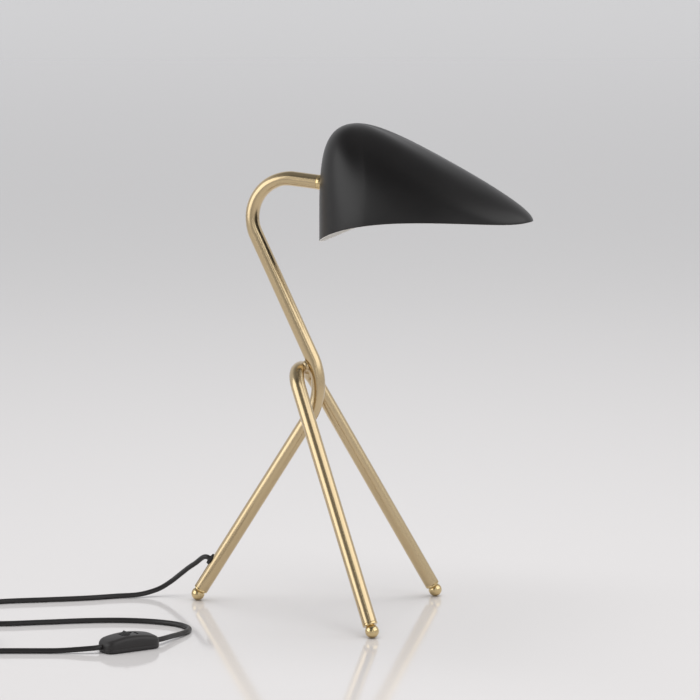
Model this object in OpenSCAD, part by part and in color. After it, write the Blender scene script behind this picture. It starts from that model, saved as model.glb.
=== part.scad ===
// Table lamp: two bent brass tubes make a tripod, and the longer one carries a black metal shade.
// The rear tube runs from its foot through the loop of the hairpin tube, over a hook and into the shade.
// X points the way the shade points, Z is up. Sizes are in millimetres.
// The origin lies on the table under the middle of the lamp, its cord left out.

/* [Tubes] */
// Outer diameter of both bent tubes
tube_d = 14; // [12:0.5:16]
// Wall of both tubes
tube_wall = 1.2; // [0.8:0.1:1.5]
// Radius of the long tube's bend in front of the hairpin
knee_radius = 58; // [50:1:66]
// Radius of the long tube's bend at the top
hook_radius = 38; // [30:1:44]
// Radius of the hairpin's bend
hairpin_radius = 24; // [20:1:28]
// Distance between the hairpin and the long tube, filled by the braze
braze_gap = 1.8; // [0.4:0.1:2.4]
// Radius of the braze around the point where the tubes meet
braze_radius = 5.5; // [4:0.5:7]

/* [Stance] */
// From the rear foot forward to the line between the front feet
stance_length = 212; // [190:1:235]
// Distance between the front feet
stance_width = 189; // [160:1:220]
// Height of the corner that the knee bend rounds off
knee_height = 214; // [205:1:225]
// How far that corner lies in front of the rear foot
knee_reach = 133.5; // [125:0.5:140]
// Backward lean of the long tube above the knee, in degrees
upper_lean = 26; // [23:0.5:28]
// Downward tilt of the long tube's end, in degrees
end_tilt = 5.6; // [3:0.2:8]
// Where the hairpin meets the knee bend, in degrees above its middle
seat_angle = 21.5; // [18:0.5:25]

/* [Feet] */
// Diameter of the ball under each leg
ball_d = 13; // [12:0.5:15]
// Height that is cut off each ball where it stands
ball_flat = 0.2; // [0.1:0.1:0.5]
// Diameter of the groove between ball and leg
neck_d = 8; // [6:0.5:9]
// Width of that groove
neck_gap = 0.5; // [0.3:0.1:1]
// Thickness of the ring that closes the tube's end
foot_ring = 2; // [1:0.5:3]
// Length of the peg that sits in the tube
peg_length = 12; // [8:1:20]

/* [Shade] */
// From the rear foot forward to the shade's back
shade_reach = 130; // [120:1:140]
// Length of the shade
shade_length = 205; // [190:1:225]
// Width of the shade
shade_width = 124; // [112:1:136]
// Height of the shade's peak above the table
peak_height = 468; // [450:1:490]
// How far the peak lies in front of the shade's back
peak_inset = 34; // [28:1:40]
// How far the widest place lies in front of the shade's back
wide_inset = 65; // [55:1:80]
// Height of the rim at the sides
rim_height = 383; // [375:1:391]
// How much lower the rim lies at the back
rear_drop = 27; // [20:1:32]
// How much lower the rim would lie at the nose
nose_dip = 4.6; // [2:0.2:6]
// How much of that the rim gives back right at the nose
nose_lift = 2.6; // [0:0.2:4]
// Height of the upright edge at the nose
nose_lip = 9; // [6:0.5:12]
// Thickness of the shade's sheet metal
sheet = 1; // [0.8:0.1:1.4]

/* [Lampholder] */
// Diameter of the threaded tube that joins arm, shade and lampholder
nipple_d = 10; // [9:0.5:10]
// Bore of that threaded tube
nipple_bore = 7; // [6:0.5:7.5]
// Length of the bright ring between arm and shade
ring_length = 5; // [3:0.5:8]
// Outer diameter of that ring
ring_d = 14.6; // [14.2:0.1:16]
// Outer diameter of the lampholder
holder_d = 28; // [26:0.5:32]
// Length of the lampholder's sleeve
holder_sleeve = 27; // [26:1:28]
// Diameter of the bulb's globe
bulb_d = 45; // [35:1:46]
// Length of the bulb from its contact to its top
bulb_length = 78; // [72:1:84]

/* [Cord] */
// Diameter of the cord
cord_d = 4.8; // [4.4:0.1:5.2]
// Distance along the rear leg from its ball's middle up to the cord's hole
hole_run = 37; // [32:1:60]
// Diameter of the cord's hole in the leg
hole_d = 8; // [7:0.5:9]
// Diameter of the grommet's flange
grommet_d = 11.2; // [10:0.2:12]
// Turns of the coil
coil_turns = 6; // [4:2:8]
// Radius of the coil's outer turn
coil_radius = 35.4; // [34:0.2:38]

/* [Switch] */
// Length of the switch on the cord
switch_length = 55; // [52:1:60]
// Width of the switch
switch_width = 25; // [23:1:28]
// Height of the switch in its middle
switch_height = 14.5; // [14:0.5:16]
// Angle that the rocker turns through, in degrees
rocker_swing = 32; // [20:1:36]

/* [Plug] */
// Length of the plug's body
plug_length = 36; // [32:1:40]
// Width of the plug's body
plug_width = 35; // [33:1:38]
// Height of the plug's body
plug_height = 13.6; // [12.6:0.2:15]

/* [Hidden] */
$fn = 96;

// Clearance between two pieces that touch
fit = 0.05;
// How much a tube's radius draws in where it is bent, and how it gets there
bend_draw = 0.12;
draw_lap = 0.02;
draw_slope = 0.05;
draw_run = 2;
tube_r = tube_d / 2;
bore_r = tube_r - tube_wall;
ball_r = ball_d / 2;
cord_r = cord_d / 2;
mid_x = (shade_reach + shade_length - ball_r) / 2;

// Colours
brass = "#b99a5f";
polished = "#d8bd84";
satin_black = "#262425";
plastic_black = "#2b2a2a";
white = "#f2f0ea";
steel = "#b8bac0";
opal = "#f6f1e4";

// Plane helpers: points are [x, z] and leans are degrees forward from upright
function unit(v) = v / norm(v);
function lean_of(v) = atan2(v[0], v[1]);
function along(lean) = [sin(lean), cos(lean)];
function cross2(a, b) = a[0] * b[1] - a[1] * b[0];
function meet(p, u, q, v) = p + u * cross2(q - p, v) / cross2(u, v);
function wrap(a) = a > 180 ? a - 360 : a < -180 ? a + 360 : a;
function turn(pts, i) = wrap(lean_of(pts[i + 1] - pts[i]) - lean_of(pts[i] - pts[i - 1]));
function cut(pts, radii, i) = i == 0 || i == len(pts) - 1 ? 0 : radii[i] * tan(abs(turn(pts, i)) / 2);

// A round rod along straight runs with rounded corners, in the XZ plane. Each bend is drawn in a little.
module bent(pts, radii, r, over = 0) {
    for (i = [0 : len(pts) - 2]) {
        u = unit(pts[i + 1] - pts[i]);
        a = pts[i] + u * cut(pts, radii, i);
        b = pts[i + 1] - u * cut(pts, radii, i + 1);
        low = i > 0 ? [[0, -draw_run], [r - bend_draw - draw_run * draw_slope, -draw_run],
            [r, (bend_draw - draw_lap) / draw_slope]] : [[0, -over], [r, -over]];
        high = i < len(pts) - 2 ? [[r, -(bend_draw - draw_lap) / draw_slope],
            [r - bend_draw - draw_run * draw_slope, draw_run], [0, draw_run]] : [[r, over], [0, over]];
        translate([a[0], 0, a[1]]) rotate([0, lean_of(u), 0]) rotate_extrude()
            polygon(concat(low, [for (p = high) p + [0, norm(b - a)]]));
    }
    for (i = [1 : len(pts) - 2]) {
        u = unit(pts[i] - pts[i - 1]);
        side = sign(turn(pts, i));
        out = -side * [u[1], -u[0]];
        c = pts[i] - u * cut(pts, radii, i) - out * radii[i];
        start = atan2(out[1], out[0]);
        sweep = abs(turn(pts, i));
        translate([c[0], 0, c[1]]) rotate([90, 0, 0]) rotate([0, 0, side > 0 ? start - sweep : start])
            rotate_extrude(angle = sweep) translate([radii[i], 0]) circle(r - bend_draw);
    }
}

module bent_tube(pts, radii) {
    difference() {
        bent(pts, radii, tube_r);
        bent(pts, radii, bore_r, 1);
    }
}

module pipe(outer, inner, length) {
    difference() {
        cylinder(h = length, r = outer);
        translate([0, 0, -1]) cylinder(h = length + 2, r = inner);
    }
}

// Moves a piece from the rear foot's frame to the lamp's own
module placed() {
    translate([-mid_x, 0, 0]) children();
}

// Shade: every line from the peak down to the rim is one smooth curve of five points
shade_front = shade_length - wide_inset;
function rim_x(phi) = wide_inset + (cos(phi) > 0 ? shade_front : wide_inset) * cos(phi);
function rim_z(x) = rim_height - rear_drop * pow(1 - x / shade_length, 4.5)
    - nose_dip * pow(x / shade_length, 4) + nose_lift * pow(x / shade_length, 24);
function rim(phi) = [rim_x(phi), shade_width / 2 * sin(phi), rim_z(min(max(rim_x(phi), 0), shade_length))];
// Shape values at the nose, at the side and at the back of the shade
shoulder = [0.22, 0.35, 1.09];
inward = [0.1, 0.1, 0];
upright = [0.27, 0.6, 0.65];
lip = [nose_lip, 22, 22];
function at_front(phi) = max(cos(phi), 0);
function at_back(phi) = let (w = max(-cos(phi), 0)) w * w * (3 - 2 * w);
function blend(v, phi) = v[0] * at_front(phi) + v[2] * at_back(phi)
    + v[1] * (1 - at_front(phi) - at_back(phi));
function curve5(p, t) = let (s = 1 - t)
    p[0] * pow(s, 4) + p[1] * 4 * t * pow(s, 3) + p[2] * 6 * t * t * s * s
    + p[3] * 4 * pow(t, 3) * s + p[4] * pow(t, 4);
function shade_point(phi, t) = let (
        top = [peak_inset, 0, peak_height],
        low = rim(phi),
        flat = [low[0] - top[0], low[1], 0],
        rise = top[2] - low[2])
    curve5([top, top + flat * blend(shoulder, phi),
        low - flat * blend(inward, phi) + [0, 0, rise * blend(upright, phi)],
        low + [0, 0, blend(lip, phi)], low], t);
function shade_normal(phi, t) = let (
        low = max(t - 0.01, 0.001),
        a = shade_point(phi + 1, t) - shade_point(phi - 1, t),
        b = shade_point(phi, min(t + 0.01, 1)) - shade_point(phi, low))
    unit(cross(a, b)) * -1;

// The arm meets the shade's back wall at this share of the way down the wall's curve.
// The wall is curved and leans, so what lies flat against it stays this much clear of its middle.
wall_share = 0.585;
wall_at = shade_point(180, wall_share);
wall_point = [shade_reach + wall_at[0], wall_at[2]];
outer_clear = 0.32;
inner_clear = 0.75;

// Long tube: rear foot, knee corner, hook corner, end in front of the shade
foot_run = sqrt(pow(ball_r, 2) - pow(neck_d / 2, 2)) + neck_gap + foot_ring;
ball_z = ball_r - ball_flat;
rear_ball = [0, ball_z];
knee = [knee_reach, knee_height];
end_way = along(90 + end_tilt);
hook = meet(knee, along(-upper_lean), wall_point, end_way);
arm_end = wall_point - end_way * (ring_length + outer_clear + 2 * fit);
leg_way = unit(knee - rear_ball);
arm_points = [rear_ball + leg_way * foot_run, knee, hook, arm_end];
arm_radii = [0, knee_radius, hook_radius, 0];

// Hairpin: it leans back from the front feet until its bend lies against the inside of the knee
knee_turn = abs(turn(arm_points, 1));
knee_centre = knee + unit(unit(hook - knee) - leg_way) * knee_radius / cos(knee_turn / 2);
apex = knee_centre + (knee_radius - tube_d + 2 * bend_draw - braze_gap) * [cos(seat_angle), sin(seat_angle)];
hairpin_lean = lean_of(apex - [stance_length, ball_z]);
hairpin_rise = norm(apex - [stance_length, ball_z]);
bend_rise = hairpin_rise - hairpin_radius;
half_width = stance_width / 2;
splay = atan2(half_width, bend_rise) - asin(hairpin_radius / norm([half_width, bend_rise]));
left_foot = [half_width, 0];
hairpin_points = [left_foot + along(-splay) * foot_run, [0, bend_rise + hairpin_radius / sin(splay)],
    [-half_width, 0] + along(splay) * foot_run];
hairpin_radii = [0, hairpin_radius, 0];

module hairpin_frame() {
    placed() translate([stance_length, 0, ball_z]) rotate([0, hairpin_lean, 0]) rotate([0, 0, 90]) children();
}

module arm_tube() {
    color(brass) difference() {
        placed() bent_tube(arm_points, arm_radii);
        hole_frame() translate([0, 0, 2]) cylinder(h = tube_r + 4, d = hole_d);
    }
}

module hairpin_tube() {
    color(brass) hairpin_frame() bent_tube(hairpin_points, hairpin_radii);
}

// Brazing metal in the crotch where the hairpin's bend lies against the knee
module knot_braze() {
    touch = apex + (tube_r - bend_draw + braze_gap / 2) * [cos(seat_angle), sin(seat_angle)];
    color(brass) difference() {
        placed() translate([touch[0], 0, touch[1]]) sphere(braze_radius);
        placed() bent(arm_points, arm_radii, tube_r + fit, $fn = 360);
        hairpin_frame() bent(hairpin_points, hairpin_radii, tube_r + fit, $fn = 360);
    }
}

// Foot: a ball, a groove, a ring that closes the tube and a peg inside it
module foot() {
    ring_start = foot_run - foot_ring;
    sphere(ball_r);
    cylinder(h = ring_start + 0.5, d = neck_d);
    translate([0, 0, ring_start]) cylinder(h = foot_ring - fit, r = tube_r);
    cylinder(h = foot_run + peg_length, r = bore_r - fit);
}

module standing() {
    difference() {
        children();
        translate([-500, -500, -20]) cube([1000, 1000, 20]);
    }
}

module foot_rear() {
    color(polished) standing() placed() translate([rear_ball[0], 0, rear_ball[1]])
        rotate([0, lean_of(leg_way), 0]) foot();
}

module foot_front(side) {
    color(polished) standing() hairpin_frame() translate([side * half_width, 0, 0])
        rotate([0, -side * splay, 0]) foot();
}

// Joint of arm and shade: everything is threaded on one axis that starts at the wall's outside
module mount_frame(s) {
    placed() translate([wall_point[0], 0, wall_point[1]]) rotate([0, 90 + end_tilt, 0])
        translate([0, 0, s]) children();
}

bush_length = 12;
washer_start = sheet + inner_clear;
washer_t = 1;
nut_t = 3;
nut_start = washer_start + washer_t + fit;
cap_start = nut_start + nut_t + fit;
neck_length = 8;
cap_length = 14;
wall_t = 2;
sleeve_start = cap_start + neck_length + cap_length;
mouth = sleeve_start + holder_sleeve;
nipple_start = -outer_clear - ring_length - bush_length + 1;
nipple_end = cap_start + neck_length;

module arm_end_bush() {
    color(steel) mount_frame(-outer_clear - ring_length - 2 * fit - bush_length)
        pipe(bore_r - fit, nipple_d / 2 + fit, bush_length);
}

module arm_end_ring() {
    color(polished) mount_frame(-outer_clear - ring_length - fit) pipe(ring_d / 2, nipple_d / 2 + fit, ring_length);
}

module threaded_nipple() {
    color(steel) mount_frame(nipple_start) pipe(nipple_d / 2, nipple_bore / 2, nipple_end - nipple_start);
}

module lock_washer() {
    teeth = 10;
    color(steel) mount_frame(washer_start) difference() {
        union() {
            cylinder(h = washer_t, d = nipple_d + 3.4);
            for (i = [0 : teeth - 1]) rotate([0, 0, i * 360 / teeth])
                translate([nipple_d / 2 + 0.6, -0.8, 0]) cube([2.2, 1.6, washer_t]);
        }
        translate([0, 0, -1]) cylinder(h = washer_t + 2, r = nipple_d / 2 + 0.15);
    }
}

module shade_nut() {
    color(steel) mount_frame(nut_start) difference() {
        cylinder(h = nut_t, d = (nipple_d + 4) / cos(30), $fn = 6);
        translate([0, 0, -1]) cylinder(h = nut_t + 2, r = nipple_d / 2 + fit);
    }
}

// Shade: one curved sheet, cut to an arched rim, with a round hole in its back
around = 60;
down = 16;
module shade() {
    steps = [for (j = [1 : down]) pow(j / down, 1.15)];
    outer = [for (t = steps, i = [0 : around - 1]) shade_point(i * 360 / around, t)];
    inner = [for (t = steps, i = [0 : around - 1])
        shade_point(i * 360 / around, t) - sheet * shade_normal(i * 360 / around, t)];
    n = around * down;
    top = [peak_inset, 0, peak_height];
    points = concat(outer, inner, [top, top - [0, 0, sheet]]);
    function next(i) = (i + 1) % around;
    skin = [for (j = [0 : down - 2], i = [0 : around - 1]) let (a = j * around) each
        [[a + i, a + around + i, a + around + next(i)], [a + i, a + around + next(i), a + next(i)]]];
    lining = [for (f = skin) [f[2] + n, f[1] + n, f[0] + n]];
    edge = n - around;
    faces = concat(skin, lining,
        [for (i = [0 : around - 1]) [2 * n, i, next(i)]],
        [for (i = [0 : around - 1]) [2 * n + 1, n + next(i), n + i]],
        [for (i = [0 : around - 1]) [edge + i, edge + n + i, edge + n + next(i)]],
        [for (i = [0 : around - 1]) [edge + i, edge + n + next(i), edge + next(i)]]);
    color(satin_black) difference() {
        placed() translate([shade_reach, 0, 0]) polyhedron(points, [for (f = faces) [f[2], f[1], f[0]]]);
        mount_frame(-3) cylinder(h = 8, r = nipple_d / 2 + 0.2);
    }
}

// Lampholder: a cap on the nipple, a core with the contacts and a sleeve round the bulb's cap
module holder_cap() {
    r = holder_d / 2;
    color(plastic_black) mount_frame(cap_start) rotate_extrude() polygon([
        [nipple_d / 2 + fit, 0], [nipple_d / 2 + 3.4, 0], [nipple_d / 2 + 3.4, neck_length - 1],
        [r - 2.5, neck_length + 1], [r - 0.6, neck_length + 3], [r, neck_length + 6],
        [r, neck_length + cap_length - fit], [r - wall_t, neck_length + cap_length - fit],
        [r - wall_t, neck_length + 6], [r - wall_t - 2, neck_length + 3.4],
        [nipple_d / 2 + fit, neck_length + 2.4]]);
}

core_start = sleeve_start - 4;
core_length = 10;
shell_start = core_start + core_length + fit;
shell_length = 17;
cap_r = 6.95;
tip_at = shell_start + 1.5;
module holder_core() {
    color(white) mount_frame(core_start) difference() {
        cylinder(h = core_length, r = holder_d / 2 - wall_t - fit);
        for (side = [-1, 1]) translate([0, side * 6, -1]) cylinder(h = core_length - 1.5, d = 5);
        translate([0, 0, core_length - 2]) cylinder(h = 3, d = 8);
    }
}

module holder_sleeve_ring() {
    r = holder_d / 2;
    color(plastic_black) mount_frame(sleeve_start) difference() {
        union() {
            cylinder(h = holder_sleeve, r = r);
            translate([0, 0, holder_sleeve - 6]) cylinder(h = 3, r = r + 1.5);
        }
        translate([0, 0, -1]) cylinder(h = holder_sleeve - 1, r = r - wall_t);
        translate([0, 0, holder_sleeve - 4]) cylinder(h = 6, r = cap_r + 2.6);
    }
}

module thread_shell() {
    color(polished) mount_frame(shell_start) pipe(cap_r + 1, cap_r + 0.3, shell_length);
}

module centre_contact() {
    color(polished) mount_frame(core_start + core_length - 2 + fit) {
        cylinder(h = 0.6, d = 7);
        cylinder(h = tip_at - core_start - core_length + 2 - 2 * fit, d = 2.4);
    }
}

module holder_screws() {
    color(steel) for (side = [-1, 1]) mount_frame(core_start + 2) translate([0, side * 6, 0]) difference() {
        cylinder(h = 5, d = 3.6);
        translate([-2.5, -0.3, -0.1]) cube([5, 0.6, 1]);
    }
}

// The cord inside the lamp runs from the grommet up the long tube and through the nipple
hole_at = rear_ball + leg_way * hole_run;
hole_way = [-leg_way[1], leg_way[0]];
module hole_frame() {
    placed() translate([hole_at[0], 0, hole_at[1]]) rotate([0, lean_of(hole_way), 0]) children();
}

flange_t = 1.6;
cord_out = tube_r + flange_t;
module inner_cord() {
    cord_top = wall_point + end_way * (cap_start + neck_length + 3);
    color(plastic_black) placed() bent(
        [hole_at + hole_way * (cord_out - fit), hole_at, knee, hook, cord_top],
        [0, 4.5, knee_radius, hook_radius, 0], cord_r);
}

module lead_wires() {
    wire_lean = 28;
    wire_start = cap_start + neck_length + 3 + 2 * fit + 0.9 * sin(wire_lean);
    color(steel) for (side = [-1, 1]) mount_frame(wire_start) translate([0, side * 1.3, 0])
        rotate([-side * wire_lean, 0, 0]) cylinder(h = (core_start + 1.3 - wire_start) / cos(wire_lean), d = 1.8);
}

module cord_grommet() {
    color(plastic_black) hole_frame() difference() {
        union() {
            cylinder(h = cord_out - fit, d = hole_d - 2 * fit);
            translate([0, 0, tube_r - 1.4]) cylinder(h = flange_t + 1.4 - fit, d = grommet_d);
        }
        translate([0, 0, -1]) cylinder(h = bore_r - 0.3, d = grommet_d + 4);
        translate([0, 0, -1]) cylinder(h = cord_out + 2, r = cord_r + fit);
        rotate([0, -90, 0]) translate([0, 0, -10]) difference() {
            cylinder(h = 20, r = tube_r + fit);
            translate([0, 0, -1]) cylinder(h = 22, r = bore_r - 0.8);
            rotate([0, 90, 0]) translate([-10, 0, 0]) cylinder(h = 20, d = hole_d - 2 * fit);
        }
    }
}

// Bulb: a screw cap with its insulator and contact, and a hollow opal globe
bulb_top = tip_at + bulb_length;
globe_r = bulb_d / 2;
glass_start = shell_start + shell_length + 5;
module bulb_glass() {
    centre = bulb_top - globe_r - glass_start;
    neck_r = cap_r + 1.8;
    hip = 42;
    hip_z = centre - globe_r * cos(hip);
    flare = [[neck_r, 0], [neck_r + 0.4, 2], [globe_r * sin(hip) - 2.6, hip_z - 3], [globe_r * sin(hip), hip_z]];
    color(opal) mount_frame(glass_start) rotate_extrude() difference() {
        union() {
            intersection() {
                translate([0, centre]) circle(globe_r);
                translate([0, hip_z]) square([bulb_d, 3 * bulb_d]);
            }
            polygon(concat([[0, 0]], flare, [[0, hip_z + 1]]));
        }
        intersection() {
            translate([0, centre]) circle(globe_r - 1);
            translate([0, hip_z - 0.5]) square([bulb_d, 3 * bulb_d]);
        }
        polygon(concat([[-1, 1]], [for (p = flare) p - [1, -0.6]], [[-1, hip_z + 0.6]]));
        translate([-3 * bulb_d, -bulb_d]) square([3 * bulb_d, 4 * bulb_d]);
    }
}

module bulb_cap() {
    color(steel) mount_frame(tip_at + 3) rotate_extrude() polygon([
        [4, 0], [cap_r - 1.2, 0], [cap_r, 2.5], [cap_r, glass_start - tip_at - 5],
        [cap_r + 1.4, glass_start - tip_at - 4], [cap_r + 1.4, glass_start - tip_at - 3 - fit],
        [4, glass_start - tip_at - 3 - fit]]);
}

module bulb_insulator() {
    color(satin_black) mount_frame(tip_at + 1) difference() {
        cylinder(h = 2 - fit, r1 = 3, r2 = cap_r - 1.6);
        translate([0, 0, -1]) cylinder(h = 4, r = 1.8 + fit);
    }
}

module bulb_contact() {
    color(steel) mount_frame(tip_at) {
        cylinder(h = 1 - fit, r = 2.6);
        cylinder(h = 2.9, r = 1.8);
    }
}

// A cord is a tube along a smooth line through hand-picked points, all in the rear foot's frame
lay = cord_r + 0.1;
switch_at = [18, -210.1];
switch_angle = 50;
switch_way = [cos(switch_angle), sin(switch_angle)];
switch_level = 5.2;
function switch_end(side, gap) = let (p = switch_at + switch_way * side * (switch_length / 2 + gap))
    [p[0], p[1], switch_level];
cord_start = hole_at + hole_way * cord_out;
route_out = [
    [cord_start[0] - 0.72, 0, cord_start[1] + 0.46], [9.3, 0.3, 43.3], [5.6, 1.7, 42.6], [1.2, 4.1, 39.8],
    [-5, 6.4, 34.9], [-13, 7.7, 29.4], [-22.3, 7.9, 21.9], [-32, 5.9, 14], [-43, 0.6, 7.2], [-58, -10, 3.2],
    [-78, -21.3, lay], [-101, -38.5, lay], [-134, -58, lay], [-168, -77, lay], [-193, -98, lay],
    [-201.5, -127, lay], [-190, -154, lay], [-164, -170, lay], [-133, -166.5, lay], [-98, -148, lay],
    [-62.6, -128.2, lay], [-30, -115, lay], [0, -110.2, lay], [25, -113.2, lay], [41, -124, lay],
    [45.3, -137, lay], [43.8, -151, lay + 0.5], [41.6, -166.5, 4.1], [40, -179.5, 5], switch_end(1, 4),
    switch_end(1, 0.4)];
coil_way = [cos(197), sin(197)];
coil_centre = [-139, -246];
coil_in = coil_centre + coil_radius * [coil_way[1], -coil_way[0]] * -1;
function coil_lead(run, z) = [coil_in[0] - coil_way[0] * run, coil_in[1] - coil_way[1] * run, z];
route_back = [switch_end(-1, 0.4), switch_end(-1, 3.4), [-5.3, -236.2, 4.9], [-11.5, -238.8, 4.4],
    [-22, -242.3, 3.5], [-36, -247, lay + 0.1], [-56, -254, lay], [-80, -262.5, lay], coil_lead(24, lay),
    coil_lead(12, lay), coil_lead(cord_d + 0.3, lay)];

function smooth(p, i, t) = let (
        a = p[max(i - 1, 0)], b = p[i], c = p[min(i + 1, len(p) - 1)], d = p[min(i + 2, len(p) - 1)])
    0.5 * (2 * b + (c - a) * t + (2 * a - 5 * b + 4 * c - d) * t * t
        + (3 * b - a - 3 * c + d) * pow(t, 3));
function line_through(p, parts) = concat(
    [for (i = [0 : len(p) - 2], k = [0 : parts - 1]) smooth(p, i, k / parts)], [p[len(p) - 1]]);
function heading(p, i) = unit(p[min(i + 1, len(p) - 1)] - p[max(i - 1, 0)]);
function run_of(p, i = 0) = i >= len(p) - 1 ? 0 : norm(p[i + 1] - p[i]) + run_of(p, i + 1);

// The tube's rings stand square to its line; its first and last rings stand square to their ends
module cord_tube(line, sides) {
    count = len(line);
    points = [for (i = [0 : count - 1]) let (
            way = heading(line, i),
            flat = unit(cross(way, [0, 0, 1])),
            up = cross(flat, way))
        for (k = [0 : sides - 1]) line[i] + cord_r * (flat * cos(k * 360 / sides) + up * sin(k * 360 / sides))];
    walls = [for (i = [0 : count - 2], k = [0 : sides - 1]) let (a = i * sides, n = (k + 1) % sides) each
        [[a + k, a + n, a + sides + n], [a + k, a + sides + n, a + sides + k]]];
    faces = concat(walls, [[for (k = [0 : sides - 1]) sides - 1 - k]],
        [[for (k = [0 : sides - 1]) (count - 1) * sides + k]]);
    color(plastic_black) placed() polyhedron(points, [for (f = faces) [for (k = [len(f) - 1 : -1 : 0]) f[k]]]);
}

module cord_to_switch() {
    cord_tube(line_through(route_out, 2), 10);
}

module cord_from_switch() {
    cord_tube(line_through(route_back, 2), 10);
}

// Coil: it winds in on the table, climbs a layer in the half turn at its middle and winds out on top
coil_pitch = cord_d + 0.55;
ring_steps = 24;
coil_rings = coil_turns * ring_steps;
plug_run = 26;
function coil_layer(w) = let (q = min(max((w - 0.5) * 2 * coil_turns / 2 + 0.5, 0), 1)) q * q * (3 - 2 * q);
function coil_point(i) = let (
        w = i / coil_rings,
        r = coil_radius - coil_pitch * coil_turns / 2 * (1 - abs(1 - 2 * w)),
        a = 197 + 90 - w * coil_turns * 360)
    [coil_centre[0] + r * cos(a), coil_centre[1] + r * sin(a), lay + coil_pitch * coil_layer(w)];
coil_top = lay + coil_pitch;
function coil_exit(run, z) = let (p = coil_in + coil_way * run) [p[0], p[1], z];
plug_level = plug_height / 2 + 0.01;
coil_line = concat([coil_lead(cord_d, lay)], [for (i = [0 : coil_rings]) coil_point(i)],
    [coil_exit(8, coil_top - 0.3), coil_exit(16, plug_level + 0.2), coil_exit(21, plug_level),
        coil_exit(plug_run - fit, plug_level)]);
function near_gap(p, i, skip) = min([for (j = [i + skip : len(p) - 1]) norm(p[i] - p[j])]);
coil_gap = min([for (i = [1 : len(coil_line) - 14]) near_gap(coil_line, i, 12)]) - cord_d;
echo("Least gap of the coil to itself in mm", coil_gap);
echo("Cord length in mm", run_of(line_through(route_out, 2)) + run_of(line_through(route_back, 2))
    + run_of(coil_line));

module cord_coil() {
    cord_tube(coil_line, 6);
}

// Switch on the cord: tray, cover, rocker on its pivot, contacts, cord ends, clamps and screws
module switch_frame() {
    placed() translate([switch_at[0], switch_at[1], 0]) rotate([0, 0, switch_angle]) children();
}

corner = 8;
split = 4;
shell_t = 1.8;
edge = 4;
crown_r = 90;
screw_x = 15;
pivot_z = switch_height - 4;
rocker_w = 8;
rocker_reach = 8;
window_gap = 0.5;
function crown_top(x) = switch_height - crown_r + sqrt(crown_r * crown_r - x * x);

// Half of the switch's outline, from its right end along its far side to its left end
function half_outline(inset) = let (
        x = switch_length / 2 - corner,
        y = switch_width / 2 - corner,
        r = corner - inset,
        bend = [for (i = [0 : 5]) r * [cos(i * 18), sin(i * 18)]])
    concat([for (p = bend) [x + p[0], y + p[1]]],
        [for (i = [1 : 7]) [x * (1 - i / 4), y + r]],
        [for (i = [5 : -1 : 0]) [-x - bend[i][0], y + bend[i][1]]]);

// A box of rings. Each ring is an inset and a height, from the table or, where crowned, from the crown.
module ring_box(rings) {
    half = len(half_outline(0));
    n = 2 * half;
    function at(p, ring) = [p[0], p[1], ring[2] ? crown_top(p[0]) + ring[1] : ring[1]];
    points = [for (ring = rings) let (h = half_outline(ring[0])) each concat(
        [for (p = h) at(p, ring)], [for (i = [half - 1 : -1 : 0]) at([h[i][0], -h[i][1]], ring)])];
    last = (len(rings) - 1) * n;
    walls = [for (j = [0 : len(rings) - 2], i = [0 : n - 1]) let (a = j * n, k = (i + 1) % n) each
        [[a + i, a + k, a + n + k], [a + i, a + n + k, a + n + i]]];
    lid = [for (i = [0 : half - 2]) [last + i, last + i + 1, last + n - 2 - i, last + n - 1 - i]];
    faces = concat(walls, lid, [[for (i = [0 : n - 1]) n - 1 - i]]);
    polyhedron(points, [for (f = faces) [for (k = [len(f) - 1 : -1 : 0]) f[k]]]);
}

module cord_ways(r) {
    translate([-switch_length / 2 - 1, 0, switch_level]) rotate([0, 90, 0]) cylinder(h = switch_length + 2, r = r);
}

module switch_base() {
    color(plastic_black) switch_frame() difference() {
        ring_box([[1.2, 0, false], [0, 1.2, false], [0, split - fit, false]]);
        ring_box([[shell_t, shell_t, false], [shell_t, split + 1, false]]);
        cord_ways(cord_r + fit);
        for (x = [-1, 1]) translate([x * screw_x, 0, -1]) cylinder(h = 6, d = 3.2);
        for (x = [-1, 1]) translate([x * screw_x, 0, -1]) cylinder(h = 1.9, d = 5.6);
    }
}

module switch_cover() {
    color(plastic_black) switch_frame() difference() {
        union() {
            difference() {
                ring_box(concat([[0, split, false]], [for (i = [0 : 4])
                    [edge * (1 - cos(i * 22.5)), -edge * (1 - sin(i * 22.5)), true]]));
                ring_box([[shell_t, split - 1, false], [shell_t, -shell_t - 1.5, true],
                    [shell_t + 1.5, -shell_t, true]]);
            }
            for (y = [-1, 1]) translate([-4, y * (rocker_w / 2 + window_gap + 1.1) - 1, split + 2.2])
                cube([8, 2, switch_height - shell_t - split - 2]);
            for (x = [-1, 1]) translate([x * screw_x, 0, shell_t + fit])
                cylinder(h = switch_height - shell_t - 2.6, d = 5.4);
        }
        translate([-rocker_reach - window_gap, -rocker_w / 2 - window_gap, split])
            cube([2 * (rocker_reach + window_gap), rocker_w + 2 * window_gap, switch_height]);
        translate([0, rocker_w / 2 + 3, pivot_z]) rotate([90, 0, 0]) cylinder(h = rocker_w + 6, d = 2.6);
        for (x = [-1, 1]) translate([x * screw_x, 0, 0]) cylinder(h = 8, d = 3.1);
        cord_ways(cord_r + fit);
    }
}

// The cord's two ends inside the switch, and the bars that clamp them
lead_in = 8;
module switch_leads() {
    color(plastic_black) switch_frame() for (side = [0, 180]) rotate([0, 0, side])
        translate([switch_length / 2 - lead_in, 0, switch_level]) rotate([0, 90, 0])
            cylinder(h = lead_in, r = cord_r);
}

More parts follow.
